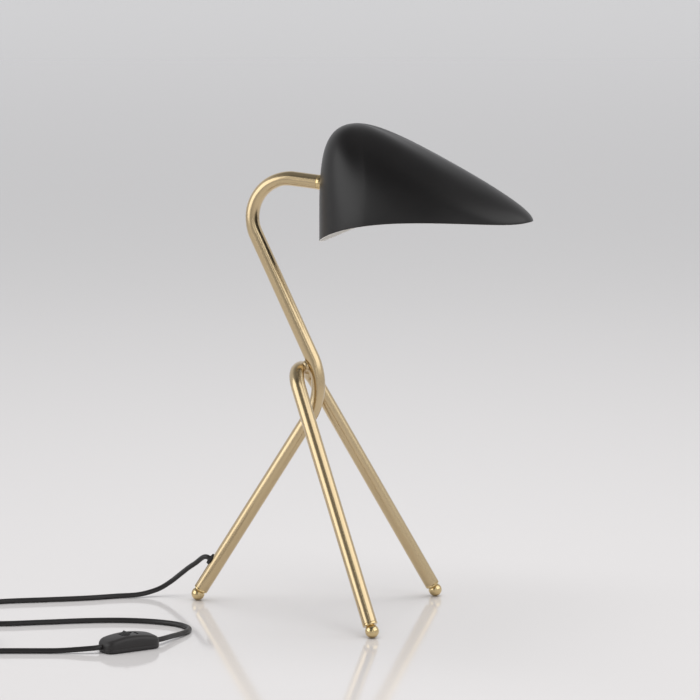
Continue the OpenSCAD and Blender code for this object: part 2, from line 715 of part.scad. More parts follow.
// Rocker: two peaks with a valley between them, grooves up its sloping ends, and two pivot stubs
module switch_rocker() {
    foot_z = 1.35;
    peak = [4.9, 5.55];
    slope = atan2(rocker_reach - peak[0], peak[1] - foot_z);
    side = [[rocker_reach, -0.5], [rocker_reach, foot_z], peak];
    color(plastic_black) switch_frame() translate([0, 0, pivot_z]) rotate([0, rocker_swing / 2, 0]) {
        difference() {
            union() {
                translate([0, rocker_w / 2, 0]) rotate([90, 0, 0]) linear_extrude(rocker_w) polygon(concat(
                    side, [[0, 2.9]], [for (i = [2 : -1 : 0]) [-side[i][0], side[i][1]]]));
                translate([0, rocker_w / 2, 0]) rotate([90, 0, 0]) cylinder(h = rocker_w, r = 2.6);
            }
            for (x = [-1, 1], y = [-1 : 1]) translate([x * (rocker_reach + peak[0]) / 2, y * 2.6, (foot_z + peak[1]) / 2])
                rotate([0, -x * slope, 0]) cube([1.1, 1.1, 9], center = true);
        }
        translate([0, rocker_w / 2 + 2.4, 0]) rotate([90, 0, 0]) cylinder(h = rocker_w + 4.8, d = 2.4);
    }
}

module switch_contacts() {
    color(polished) switch_frame() for (x = [-1, 1], y = [-1, 1])
        translate([x * 11 - 3, y * 7.6 - 1, shell_t + fit]) cube([6, 2, 5]);
}

module cord_clamps() {
    color(plastic_black) switch_frame() for (x = [-1, 1])
        translate([x * (switch_length / 2 - 5.5) - 1.5, -6, switch_level + cord_r + fit]) cube([3, 12, 0.9]);
}

module switch_screws() {
    color(steel) switch_frame() for (x = [-1, 1]) translate([x * screw_x, 0, 0.1]) difference() {
        union() {
            cylinder(h = 0.75, d = 5.2);
            cylinder(h = 7, d = 3);
        }
        translate([-3, -0.3, -0.1]) cube([6, 0.6, 0.5]);
    }
}

// Plug: flat two-pin body with a tapered relief, pins that lean in a little
module plug_frame() {
    p = coil_exit(plug_run, 0);
    placed() translate([p[0], p[1], plug_level]) rotate([0, 0, 197]) rotate([0, 90, 0]) children();
}

relief_length = 22;
pin_spread = 18.6;
pin_lean = 1.66;
pin_length = 19;
sleeve_length = 10;
pin_r = 2;
module plug_relief() {
    color(plastic_black) plug_frame() translate([0, 0, fit]) difference() {
        union() {
            cylinder(h = relief_length - 2 * fit, r1 = cord_r + 0.7, r2 = cord_r + 2);
            for (i = [0 : 3]) translate([0, 0, 3 + i * 4.6]) cylinder(h = 2.2, r = cord_r + 1.5 + i * 0.35);
        }
        translate([0, 0, -1]) cylinder(h = 3, r = 0.8);
    }
}

module plug_body() {
    front = 26;
    color(plastic_black) plug_frame() translate([0, 0, relief_length]) hull() {
        for (x = [-1, 1]) translate([x * 2, 0, 0]) cylinder(h = 1, r = 4.2, $fn = 32);
        for (x = [-1, 1], y = [-1, 1]) {
            translate([x * (plug_height / 2 - 2.5), y * (plug_width / 2 - 5), plug_length - front])
                cylinder(h = 1, r = 2.5, $fn = 32);
            translate([x * (plug_height / 2 - 2.5), y * (plug_width / 2 - 2.5), plug_length - 8])
                cylinder(h = 1, r = 2.5, $fn = 32);
            translate([x * (plug_height / 2 - 3), y * (plug_width / 2 - 4.5), plug_length - 1])
                cylinder(h = 1, r = 3, $fn = 32);
        }
    }
}

module pin_frame(side) {
    plug_frame() translate([0, side * pin_spread / 2, relief_length + plug_length + fit])
        rotate([side * pin_lean, 0, 0]) children();
}

module plug_sleeves() {
    color(plastic_black) for (side = [-1, 1]) pin_frame(side) pipe(pin_r - 0.25, 1.3 + fit, sleeve_length);
}

module plug_pins() {
    color(steel) for (side = [-1, 1]) pin_frame(side) {
        translate([0, 0, 0.2]) cylinder(h = pin_length - 2, r = 1.3);
        translate([0, 0, sleeve_length + fit]) cylinder(h = pin_length - sleeve_length - 1 - fit, r = pin_r);
        translate([0, 0, pin_length - 1]) cylinder(h = 1, r1 = pin_r, r2 = pin_r - 0.8);
    }
}

arm_tube();
hairpin_tube();
knot_braze();
foot_rear();
foot_front(-1);  // foot_front_right
foot_front(1);  // foot_front_left
arm_end_bush();
arm_end_ring();
threaded_nipple();
lock_washer();
shade_nut();
shade();
holder_cap();
holder_core();
holder_sleeve_ring();
thread_shell();
centre_contact();
holder_screws();
inner_cord();
lead_wires();
bulb_glass();
bulb_cap();
bulb_insulator();
bulb_contact();
cord_grommet();
cord_to_switch();
switch_base();
switch_cover();
switch_rocker();
switch_contacts();
switch_leads();
cord_clamps();
switch_screws();
cord_from_switch();
cord_coil();
plug_relief();
plug_body();
plug_sleeves();
plug_pins();
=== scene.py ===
# %% [markdown]
# A table lamp of bent brass tube: one tube stands on a ball foot behind, leans forward, bends at a
# knee and ends in a hook that carries a pointed black shade. A second tube, bent like a hairpin,
# makes the two front legs. The construction comes packed and fixed. This script dresses it: it
# lays smooth surfaces over the exact parts and gives each one the finish of the real material.

import math

import bmesh
import bpy
import numpy as np
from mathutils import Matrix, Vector


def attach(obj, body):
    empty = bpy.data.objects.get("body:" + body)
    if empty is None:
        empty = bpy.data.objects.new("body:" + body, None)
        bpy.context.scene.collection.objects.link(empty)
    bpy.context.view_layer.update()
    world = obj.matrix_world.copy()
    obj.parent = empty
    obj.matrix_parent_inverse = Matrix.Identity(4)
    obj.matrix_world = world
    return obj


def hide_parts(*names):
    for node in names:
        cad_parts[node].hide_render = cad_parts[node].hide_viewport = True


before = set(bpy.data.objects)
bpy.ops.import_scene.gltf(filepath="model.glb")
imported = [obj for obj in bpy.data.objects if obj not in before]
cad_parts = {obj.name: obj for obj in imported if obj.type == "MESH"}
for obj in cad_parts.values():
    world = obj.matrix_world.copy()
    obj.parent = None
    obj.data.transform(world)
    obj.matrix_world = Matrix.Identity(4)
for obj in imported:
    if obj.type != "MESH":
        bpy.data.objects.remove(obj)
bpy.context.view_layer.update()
MM = 0.001
print("packed nodes:", len(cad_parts))

# %% [markdown]
# The camera stands where the photographer stood. It looks down a little and sees the lamp from its
# right-hand side, turned by about twenty degrees. A long lens far away keeps the perspective flat.

# %% Camera
CAMERA_AT = (0.9757, -2.7789, 0.67275)
CAMERA_PITCH = math.radians(8.10)
CAMERA_TURN = math.radians(19.48)
CAMERA_LENS = 161.82
SENSOR_WIDTH = 36

camera = bpy.data.objects.new("camera", bpy.data.cameras.new("camera"))
bpy.context.scene.collection.objects.link(camera)
camera.location = CAMERA_AT
camera.rotation_euler = (math.pi / 2 - CAMERA_PITCH, 0, CAMERA_TURN)
camera.data.lens = CAMERA_LENS
camera.data.sensor_width = SENSOR_WIDTH
camera.data.clip_end = 80
bpy.context.scene.camera = camera

# %% [markdown]
# Every surface below is a grid of points worked out with numpy, and one helper turns such a grid
# into a mesh. A grid can be closed round itself, and its first or last row can shrink to a pole,
# where a fan of triangles closes the surface. The grid's rows and columns also make the UV map,
# in metres, so that a pattern can follow the surface at its real scale.

# %% Helper: a mesh from a grid of points
def grid_mesh(name, points, material, first_pole=False, last_pole=False, flip=False, loop=False):
    """Rows run along the piece and columns run round it, closed. A pole row becomes one vertex, and
    in a loop the last row is the first one."""
    rows, columns = points.shape[:2]
    along = np.linalg.norm(np.diff(points, axis=0), axis=2).mean(1)
    v = np.concatenate([[0], np.cumsum(along)])
    ring = np.linalg.norm(np.roll(points, -1, axis=1) - points, axis=2)
    u = np.concatenate([np.zeros((rows, 1)), np.cumsum(ring, axis=1)], axis=1)
    corner = np.arange(rows * columns).reshape(rows, columns)
    if first_pole:
        corner[0] = corner[0, 0]
    if last_pole:
        corner[-1] = corner[-1, 0]
    if loop:
        corner[-1] = corner[0]
    nxt = np.roll(corner, -1, axis=1)
    quads = np.stack([corner[:-1], nxt[:-1], nxt[1:], corner[1:]], axis=-1).reshape(-1, 4)
    i, j = np.divmod(np.arange((rows - 1) * columns), columns)
    corner_uv = np.stack([u[i, j], v[i], u[i, j + 1], v[i], u[i + 1, j + 1], v[i + 1], u[i + 1, j], v[i + 1]])
    corner_uv = corner_uv.T.reshape(-1, 4, 2)
    used, new = np.unique(quads, return_inverse=True)
    quads = new.reshape(-1, 4)
    if flip:
        quads, corner_uv = quads[:, ::-1], corner_uv[:, ::-1]
    faces, uvs = [], []
    for quad, uv in zip(quads.tolist(), corner_uv.tolist()):
        keep = [k for k in range(4) if quad[k] != quad[k - 1]]
        faces.append([quad[k] for k in keep])
        uvs.extend(uv[k] for k in keep)
    mesh = bpy.data.meshes.new(name)
    mesh.from_pydata(points.reshape(-1, 3)[used].tolist(), [], faces)
    layer = mesh.uv_layers.new(name="surface")
    layer.data.foreach_set("uv", np.array(uvs, np.float32).ravel())
    return add_piece(name, mesh, material)


def add_piece(name, mesh, material, body="lamp"):
    """Puts a mesh into the scene as a piece that rides on one of the lamp's bodies. Its faces are
    shaded smooth, except over edges that turn by more than 35 degrees."""
    mesh.update()
    mesh.shade_smooth()
    mesh.set_sharp_from_angle(angle=math.radians(35))
    piece = bpy.data.objects.new(name, mesh)
    bpy.context.scene.collection.objects.link(piece)
    mesh.materials.append(material)
    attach(piece, body)
    return piece


# %% [markdown]
# A colour is written as the eye sees it on a screen, as a hex value. The renderer counts in linear
# light, so one function turns the one into the other. A second helper adds a shader node with its
# settings and links, and every material below is made with it.

# %% Helpers: colours and shader nodes
def linear(code):
    """Hex colour to linear light: each channel is undone from its sRGB curve."""
    value = np.array([int(code[k : k + 2], 16) for k in (1, 3, 5)]) / 255
    light = np.where(value <= 0.04045, value / 12.92, ((value + 0.055) / 1.055) ** 2.4)
    return (*light.tolist(), 1.0)


def add_node(tree, kind, settings=(), **inputs):
    """Adds a node. settings are its own properties, and inputs are values or sockets by input name."""
    made = tree.nodes.new(kind)
    for key, value in dict(settings).items():
        setattr(made, key, value)
    for key, value in inputs.items():
        name = key.replace("_", " ")
        index = int(key[1:]) if key[0] == "i" and key[1:].isdigit() else name
        if kind == "ShaderNodeMix":
            index = {"Factor": 0, "A": 6, "B": 7}[key]
        if isinstance(value, bpy.types.NodeSocket):
            tree.links.new(value, made.inputs[index])
        else:
            made.inputs[index].default_value = value
    return made


def new_material(name):
    """An empty material, ready for nodes."""
    material = bpy.data.materials.new(name)
    material.use_nodes = True
    material.node_tree.nodes.clear()
    return material, material.node_tree


def finish_material(tree, shader):
    """Links the shader to the material's output."""
    add_node(tree, "ShaderNodeOutputMaterial", Surface=shader.outputs[0])


# %% [markdown]
# Most finishes here are one idea in different sizes. A fine noise moves the roughness up and down a
# little and lifts a shallow bump, and a broad noise shifts the colour, as dust, handling and the
# mould or the brush do on a real surface. The noise reads the piece's own coordinates in metres, so
# its scale is a real size, and stretching it turns spots into brush marks.

# %% Helper: a finish with fine grain and broad colour change
def finish(name, colour, roughness, grain, bump=0.1, spread=0.06, tint=None, patch=40 * MM, metallic=0.0,
        stretch=(1, 1, 1), ior=1.5, coat=0.0):
    """grain and patch are sizes in metres, spread is how far the roughness moves either way, and
    tint is the colour that the broad noise leans towards."""
    material, tree = new_material(name)
    place = add_node(tree, "ShaderNodeTexCoord").outputs["Object"]
    drawn = add_node(tree, "ShaderNodeMapping", Vector=place, Scale=stretch).outputs[0]
    fine = add_node(tree, "ShaderNodeTexNoise", Vector=drawn, Scale=1 / grain, Detail=3.0).outputs[0]
    broad = add_node(tree, "ShaderNodeTexNoise", Vector=place, Scale=1 / patch, Detail=2.0).outputs[0]
    both = add_node(tree, "ShaderNodeMath", {"operation": "MULTIPLY_ADD"}, i0=broad, i1=0.6, i2=fine)
    rough = add_node(tree, "ShaderNodeMapRange", Value=both.outputs[0], From_Min=0.4, From_Max=1.2,
        To_Min=max(roughness - spread, 0.02), To_Max=roughness + spread)
    raised = add_node(tree, "ShaderNodeBump", Strength=bump, Distance=min(grain, 1 * MM) * 0.3, Height=fine)
    mix = add_node(tree, "ShaderNodeMix", {"data_type": "RGBA"}, Factor=broad, A=linear(colour),
        B=linear(tint or colour))
    shader = add_node(tree, "ShaderNodeBsdfPrincipled", Base_Color=mix.outputs[2], Metallic=metallic,
        Roughness=rough.outputs[0], IOR=ior, Coat_Weight=coat, Normal=raised.outputs[0])
    finish_material(tree, shader)
    return material


# %% [markdown]
# The cord is a round black PVC flex, 4.8 mm thick. PVC is soft and slightly glossy, and its skin
# shows long faint waves from the extruder. It has no weave.

# %% Finish: extruded PVC
pvc_cord = finish("black PVC cord", "#151313", 0.40, 5 * MM, bump=0.12, tint="#1e1b1b", patch=60 * MM)

# %% [markdown]
# The cord's route repeats the points of the construction, measured from the rear foot. Its first
# stretch leaves the rear leg, drops to the table and runs in two wide passes to the switch. The
# second leaves the switch, runs out of the picture and is wound up there: six turns that spiral in
# on the table and out again on top of themselves. A smooth line goes through all the points, and a
# circle carried along that line makes the tube.

# %% Helpers: a smooth line, directions of length one and the length of a line
def smooth_line(points, parts):
    """Catmull-Rom: each span between two points is a cubic whose slope at a point is half the step
    from the point before to the point after."""
    p = np.asarray(points, float)
    before, after = np.vstack([p[:1], p[:-2]]), np.vstack([p[2:], p[-1:]])
    a, b, c, d = (x[:, None, :] for x in (before, p[:-1], p[1:], after))
    t = np.linspace(0, 1, parts, endpoint=False)[None, :, None]
    line = 0.5 * (2 * b + (c - a) * t + (2 * a - 5 * b + 4 * c - d) * t**2 + (3 * b - a - 3 * c + d) * t**3)
    return np.vstack([line.reshape(-1, p.shape[1]), p[-1:]])


def unit(v):
    return v / np.linalg.norm(v, axis=-1, keepdims=True)


def run_of(line):
    return float(np.linalg.norm(np.diff(line, axis=0), axis=1).sum())


# %% The cord's points, in millimetres from the rear foot
REAR_FOOT = np.array([-164.25, 0, 0])
CORD_D = 4.8
LAY = CORD_D / 2 + 0.1
HOLE_EXIT = np.array([12.771, 0, 42.075])
SWITCH_AT = np.array([18.0, -210.1, 0])
SWITCH_TURN = math.radians(50)
SWITCH_LENGTH = 55.0
SWITCH_LEVEL = 5.2
switch_way = np.array([math.cos(SWITCH_TURN), math.sin(SWITCH_TURN), 0])
GAP = 0.05


def switch_end(side, beyond):
    """The point beyond one end of the switch. side is 1 towards the lamp and -1 towards the plug."""
    return SWITCH_AT + switch_way * side * (SWITCH_LENGTH / 2 + beyond) + [0, 0, SWITCH_LEVEL]


route_out = [
    (HOLE_EXIT[0] - 0.3, 0, HOLE_EXIT[2] + 0.16), (9.3, 0.3, 43.3), (5.6, 1.7, 42.6), (1.2, 4.1, 39.8),
    (-5, 6.4, 34.9), (-13, 7.7, 29.4), (-22.3, 7.9, 21.9), (-32, 5.9, 14), (-43, 0.6, 7.2),
    (-58, -10, 3.2), (-78, -21.3, LAY), (-101, -38.5, LAY), (-134, -58, LAY), (-168, -77, LAY),
    (-193, -98, LAY), (-201.5, -127, LAY), (-190, -154, LAY), (-164, -170, LAY), (-133, -166.5, LAY),
    (-98, -148, LAY), (-62.6, -128.2, LAY), (-30, -115, LAY), (0, -110.2, LAY), (25, -113.2, LAY),
    (41, -124, LAY), (45.3, -137, LAY), (43.8, -151, LAY + 0.5), (41.6, -166.5, 4.1), (40, -179.5, 5),
    switch_end(1, 4), switch_end(1, GAP)]

COIL_ANGLE = math.radians(197)
COIL_WAY = np.array([math.cos(COIL_ANGLE), math.sin(COIL_ANGLE), 0])
COIL_SIDE = np.array([-COIL_WAY[1], COIL_WAY[0], 0])
COIL_CENTRE = np.array([-139.0, -246.0, 0])
COIL_RADIUS = 35.4
COIL_TURNS = 6
STEPS_PER_TURN = 48
COIL_PITCH = CORD_D + 0.55
PLUG_RUN = 26
PLUG_LEVEL = 6.81
coil_in = COIL_CENTRE + COIL_RADIUS * COIL_SIDE


def by_coil(run, z):
    """A point in line with the coil's start and end: run is below 0 before it and above 0 after it."""
    return coil_in + COIL_WAY * run + [0, 0, z]


route_back = [switch_end(-1, GAP), switch_end(-1, 3.4), (-5.3, -236.2, 4.9), (-11.5, -238.8, 4.4),
    (-22, -242.3, 3.5), (-36, -247, LAY + 0.1), (-56, -254, LAY), (-80, -262.5, LAY),
    by_coil(-24, LAY), by_coil(-12, LAY), by_coil(-CORD_D - 0.3, LAY)]

# %% The coil: its radius shrinks and grows again at a steady rate, and it climbs in the middle
share = np.linspace(0, 1, COIL_TURNS * STEPS_PER_TURN + 1)
spiral = COIL_RADIUS - COIL_PITCH * COIL_TURNS / 2 * (1 - np.abs(1 - 2 * share))
angle = COIL_ANGLE + math.pi / 2 - share * COIL_TURNS * 2 * math.pi
climb = np.clip((share - 0.5) * COIL_TURNS + 0.5, 0, 1)
coil_height = LAY + COIL_PITCH * climb**2 * (3 - 2 * climb)
coil_turns = np.stack([COIL_CENTRE[0] + spiral * np.cos(angle), COIL_CENTRE[1] + spiral * np.sin(angle),
    coil_height], axis=1)
coil_tail = [by_coil(8, LAY + COIL_PITCH - 0.3), by_coil(16, PLUG_LEVEL + 0.2), by_coil(21, PLUG_LEVEL),
    by_coil(PLUG_RUN - GAP, PLUG_LEVEL)]

line_out = (smooth_line(route_out, 8) + REAR_FOOT) * MM
line_back = np.vstack([smooth_line(route_back, 8), coil_turns,
    smooth_line([coil_turns[-1], *coil_tail], 6)[1:]])
line_back = (line_back + REAR_FOOT) * MM

# %% The two cords, each a tube with closed ends
UP = np.array([0, 0, 1.0])
CORD_SIDES = 20


def cord_tube(line):
    """A circle at each point, square to the line, and a last ring at each end that shrinks to a
    point. The line never runs straight up, so that the way up tells where a circle starts."""
    way = unit(np.vstack([line[1:2] - line[:1], line[2:] - line[:-2], line[-1:] - line[-2:-1]]))
    side = unit(np.cross(way, UP))
    rise = np.cross(side, way)
    turn = np.linspace(0, 2 * np.pi, CORD_SIDES, endpoint=False)[None, :, None]
    circles = line[:, None] + CORD_D / 2 * MM * (side[:, None] * np.cos(turn) + rise[:, None] * np.sin(turn))
    first, last = (np.repeat(end[:, None], CORD_SIDES, axis=1) for end in (line[:1], line[-1:]))
    return np.concatenate([first, circles, last])


cord_out = grid_mesh("cord_lamp_to_switch", cord_tube(line_out), pvc_cord, first_pole=True,
    last_pole=True, flip=True)
cord_back = grid_mesh("cord_switch_to_plug", cord_tube(line_back), pvc_cord, first_pole=True,
    last_pole=True, flip=True)
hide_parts("cord_to_switch")
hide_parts("cord_from_switch", "cord_coil")
print("cord:", round(run_of(line_out), 3), "+", round(run_of(line_back), 3), "m")

# %% [markdown]
# The floor stands in for the pale glossy table. It is plain, and just glossy enough to mirror the
# feet faintly.

# %% Floor
FLOOR_HALF = 40.0
floor_mesh = bpy.data.meshes.new("floor")
floor_mesh.from_pydata([(x * FLOOR_HALF, y * FLOOR_HALF, 0) for x, y in ((-1, -1), (1, -1), (1, 1), (-1, 1))],
    [], [(0, 1, 2, 3)])
floor_mesh.materials.append(finish("pale glossy table", "#e6e3e2", 0.09, 300 * MM, bump=0.0, spread=0.0))
floor = bpy.data.objects.new("floor", floor_mesh)
bpy.context.scene.collection.objects.link(floor)

# %% [markdown]
# Polished metal and black lacquer show the room more than themselves, so the studio round the lamp
# matters. It is plain: pale walls, a dark ceiling, and a dark side where the photographer stands.
# Two large soft boxes stand left and right of the lamp, and their mirror images draw the pale band
# on the back of the shade and the cream stripe down each tube. A narrow strip near the camera draws
# the thin line beside it. A fourth light overhead only brightens the table: nothing mirrors it.

# %% The studio's walls, as a world that depends on direction only
def direction(azimuth, elevation):
    """Azimuth 0 looks along X and 90 along Y."""
    a, e = math.radians(azimuth), math.radians(elevation)
    return math.cos(e) * math.cos(a), math.cos(e) * math.sin(a), math.sin(e)


world = bpy.data.worlds.new("studio")
bpy.context.scene.world = world
world.use_nodes = True
sky = world.node_tree
sky.nodes.clear()
look = add_node(sky, "ShaderNodeTexCoord").outputs["Generated"]


def dimmed(azimuth, elevation, inner, outer, left):
    """1 outside a soft round patch, and left inside it. inner and outer are degrees from its middle."""
    near = add_node(sky, "ShaderNodeVectorMath", {"operation": "DOT_PRODUCT"}, i0=look,
        i1=direction(azimuth, elevation)).outputs["Value"]
    rim, core = math.cos(math.radians(outer)), math.cos(math.radians(inner))
    patch = add_node(sky, "ShaderNodeMapRange", {"interpolation_type": "SMOOTHSTEP"}, Value=near,
        From_Min=rim, From_Max=core, To_Min=1.0, To_Max=left)
    return patch.outputs[0]


def times(first, second):
    return add_node(sky, "ShaderNodeMath", {"operation": "MULTIPLY"}, i0=first, i1=second).outputs[0]


WALL_LIGHT, BACKDROP = 0.78, 0.75
walls = times(times(dimmed(0, 90, 25, 60, 0.36), dimmed(-86, 38, 18, 42, 0.34)), WALL_LIGHT)
seen = add_node(sky, "ShaderNodeLightPath").outputs["Is Camera Ray"]
level = add_node(sky, "ShaderNodeMapRange", Value=seen, To_Min=walls, To_Max=BACKDROP)
glow = add_node(sky, "ShaderNodeBackground", Color=linear("#f4f4f6"), Strength=level.outputs[0])
add_node(sky, "ShaderNodeOutputWorld", Surface=glow.outputs[0])


# %% The soft boxes leave the table out, so that it doesn't mirror them as bright rectangles
not_on_the_table = bpy.data.collections.new("all but the table")
not_on_the_table.objects.link(floor)
not_on_the_table.collection_objects[0].light_linking.link_state = "EXCLUDE"
LAMP_MIDDLE = Vector((0, 0, 0.2))


def soft_box(name, azimuth, elevation, distance, width, height, radiance, mirrored=True):
    """radiance is how bright the box looks: 1 is white paper. A box of that look gives off
    radiance * pi * area watts. mirrored says whether metal and lacquer show it."""
    light = bpy.data.lights.new(name, "AREA")
    light.shape = "RECTANGLE"
    light.size, light.size_y = width, height
    light.energy = radiance * math.pi * width * height
    box = bpy.data.objects.new(name, light)
    bpy.context.scene.collection.objects.link(box)
    box.visible_glossy = mirrored
    if mirrored:
        box.light_linking.receiver_collection = not_on_the_table
    box.location = LAMP_MIDDLE + Vector(direction(azimuth, elevation)) * distance
    box.rotation_euler = (LAMP_MIDDLE - box.location).to_track_quat("-Z", "Y").to_euler()


soft_box("left soft box", -138, 19, 2.4, 2.1, 1.9, 1.3)
soft_box("right soft box", -6, 37, 2.6, 3.2, 2.4, 1.12)
soft_box("strip by the camera", -66, 18, 2.3, 0.14, 1.5, 2.0)
soft_box("ceiling fill", 0, 88, 2.6, 2.6, 2.6, 3.0, mirrored=False)

# %% [markdown]
# The tubes are brass, drawn, bent and then brushed to a satin finish along their length, with a
# clear lacquer. Brass is a yellow metal that reads almost cream where it catches the light and
# olive where it mirrors a grey room. The brushing is far finer than a pixel, so it is drawn coarser
# here: streaks along the tube that vary the roughness a little. The lacquer is a thin clear coat.

# %% Finish: satin brass
STREAK_LENGTH, TARNISH_SIZE = 90 * MM, 45 * MM


def brass(name, colour, tint, roughness, spread, streak_width, bump):
    """Streaks are noise stretched along the surface's second UV direction. They vary the roughness
    and the bump. A broad noise leans the colour towards tint, as handled brass darkens."""
    material, tree = new_material(name)
    surface = add_node(tree, "ShaderNodeTexCoord").outputs["UV"]
    drawn = add_node(tree, "ShaderNodeMapping", Vector=surface,
        Scale=(1 / streak_width, 1 / STREAK_LENGTH, 1)).outputs[0]
    streaks = add_node(tree, "ShaderNodeTexNoise", Vector=drawn, Scale=1.0, Detail=4.0).outputs[0]
    broad = add_node(tree, "ShaderNodeTexNoise", Vector=surface, Scale=1 / TARNISH_SIZE,
        Detail=2.0).outputs[0]
    rough = add_node(tree, "ShaderNodeMapRange", Value=streaks, From_Min=0.3, From_Max=0.7,
        To_Min=roughness - spread, To_Max=roughness + spread).outputs[0]
    raised = add_node(tree, "ShaderNodeBump", Strength=bump, Distance=0.02 * MM, Height=streaks).outputs[0]
    mix = add_node(tree, "ShaderNodeMix", {"data_type": "RGBA"}, Factor=broad, A=linear(colour),
        B=linear(tint))
    shader = add_node(tree, "ShaderNodeBsdfPrincipled", Base_Color=mix.outputs[2], Metallic=1.0,
        Roughness=rough, Normal=raised, Coat_Weight=0.5, Coat_Roughness=0.12)
    finish_material(tree, shader)
    return material


satin_brass = brass("satin brushed brass", "#ccb892", "#c4ad85", 0.23, 0.03, 0.9 * MM, 0.07)
polished_brass = brass("polished brass", "#d8c292", "#ceb584", 0.08, 0.02, 0.6 * MM, 0.05)

# %% [markdown]
# Both tubes follow a line of straight runs with rounded corners. The line is worked out from the
# corners and bend radii, as a pipe bender would set it out, and a circle is carried along it. A
# bend flattens a tube: the photo shows each bend half a millimetre slimmer in its own plane and a
# little wider across it. At each open end the surface turns over the wall and runs back through the
# bore, so that the tube has a real wall.

# %% Helpers: a line of straight runs and arcs, and an open tube along it
TUBE_R, BORE_R = 7.0, 5.8
TUBE_EDGE = 0.25
TUBE_SIDES = 72
FLATTEN, SWELL = 0.5, 0.3
EASE = 14.0
STRAIGHT_STEP = 12.0


def rounded_line(corners, radii, step):
    """At each corner an arc touches both runs: it starts radius * tan(turn / 2) before the corner.
    The second array says how far the tube is flattened: 0 on a straight run, 1 well inside a bend.
    step is the distance between points in a bend."""
    corners = np.asarray(corners, float)
    line, bent = [corners[:1]], [[0.0]]

    def straight_to(point):
        count = max(2, int(np.linalg.norm(point - line[-1][-1]) / STRAIGHT_STEP))
        share = np.linspace(0, 1, count + 1)[1:, None]
        line.append(line[-1][-1] * (1 - share) + point * share)
        bent.append(np.zeros(count))

    for before, corner, after, radius in zip(corners[:-2], corners[1:-1], corners[2:], radii):
        into, out = unit(corner - before), unit(after - corner)
        turn = math.acos(float(into @ out))
        centre = corner + unit(out - into) * radius / math.cos(turn / 2)
        start = corner - into * radius * math.tan(turn / 2)
        straight_to(start)
        t = np.linspace(0, turn, max(4, int(radius * turn / step)))[1:]
        line.append(centre + (start - centre) * np.cos(t)[:, None] + into * radius * np.sin(t)[:, None])
        ease = np.clip(np.minimum(t, turn - t) * radius / EASE, 0, 1)
        bent.append(ease * ease * (3 - 2 * ease))
    straight_to(corners[-1])
    return np.vstack(line), np.concatenate(bent)


def open_tube(line, bent, hint):
    """Rings go along the outside, over the wall at the far end, back through the bore and over the
    wall at the near end. hint stands square to the plane that the tube is bent in."""
    first, last, middle = line[:1], line[-1:], line[1:-1]
    into, out = unit(line[1] - line[0]), unit(line[-1] - line[-2])
    path = np.vstack([first, first, first + TUBE_EDGE * into, middle, last - TUBE_EDGE * out, last, last,
        last - TUBE_EDGE * out, middle[::-1], first + TUBE_EDGE * into, first])
    radius = np.concatenate([[BORE_R + TUBE_EDGE, TUBE_R - TUBE_EDGE, TUBE_R], np.full(len(middle), TUBE_R),
        [TUBE_R, TUBE_R - TUBE_EDGE, BORE_R + TUBE_EDGE, BORE_R], np.full(len(middle), BORE_R),
        [BORE_R, BORE_R + TUBE_EDGE]])
    along = line[2:] - line[:-2]
    way = unit(np.vstack([[into] * 3, along, [out] * 4, along[::-1], [into] * 2]))
    oval = np.concatenate([np.zeros(3), bent[1:-1], np.zeros(4), bent[-2:0:-1], np.zeros(2)])
    side = unit(np.cross(way, hint))
    up = np.cross(side, way)
    turn = np.linspace(0, 2 * np.pi, TUBE_SIDES, endpoint=False)[None, :, None]
    slim, wide = (radius - FLATTEN * oval)[:, None, None], (radius + SWELL * oval)[:, None, None]
    return path[:, None] + slim * side[:, None] * np.cos(turn) + wide * up[:, None] * np.sin(turn)


# %% The long tube, from the lamp's own measures in millimetres
BALL_R = 6.5
BALL_Z = 6.3
FOOT_RUN = 7.623
KNEE = np.array([133.5, 0, 214.0])
KNEE_RADIUS = 58.0
HOOK_RADIUS = 38.0
UPPER_LEAN = math.radians(26)
END_TILT = math.radians(5.6)
WALL_POINT = np.array([130.497, 0, 411.11])
RING_LENGTH = 5.0
WALL_CLEAR = 0.32
end_way = np.array([math.cos(END_TILT), 0, -math.sin(END_TILT)])
upper_way = np.array([-math.sin(UPPER_LEAN), 0, math.cos(UPPER_LEAN)])


def meet(p, u, q, v):
    """Where the line from p along u crosses the line from q along v, both in the XZ plane."""
    return p + u * ((q - p)[0] * v[2] - (q - p)[2] * v[0]) / (u[0] * v[2] - u[2] * v[0])


hook = meet(KNEE, upper_way, WALL_POINT, end_way)
rear_ball = np.array([0, 0, BALL_Z])
leg_way = unit(KNEE - rear_ball)
arm_end = WALL_POINT - end_way * (RING_LENGTH + WALL_CLEAR + 2 * GAP)
arm_line, arm_bent = rounded_line([rear_ball + leg_way * FOOT_RUN, KNEE, hook, arm_end],
    (KNEE_RADIUS, HOOK_RADIUS), step=1.0)
ACROSS = np.array([0, 1.0, 0])
long_tube = grid_mesh("long_tube", (open_tube(arm_line, arm_bent, ACROSS) + REAR_FOOT) * MM,
    satin_brass, flip=True, loop=True)
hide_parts("arm_tube")
print("long tube:", round(run_of(arm_line)), "mm")

# %% [markdown]
# The hairpin lies in a plane of its own. That plane stands on the two front feet and leans back
# until the hairpin's bend nearly touches the inside of the knee, where brazing metal joins them.

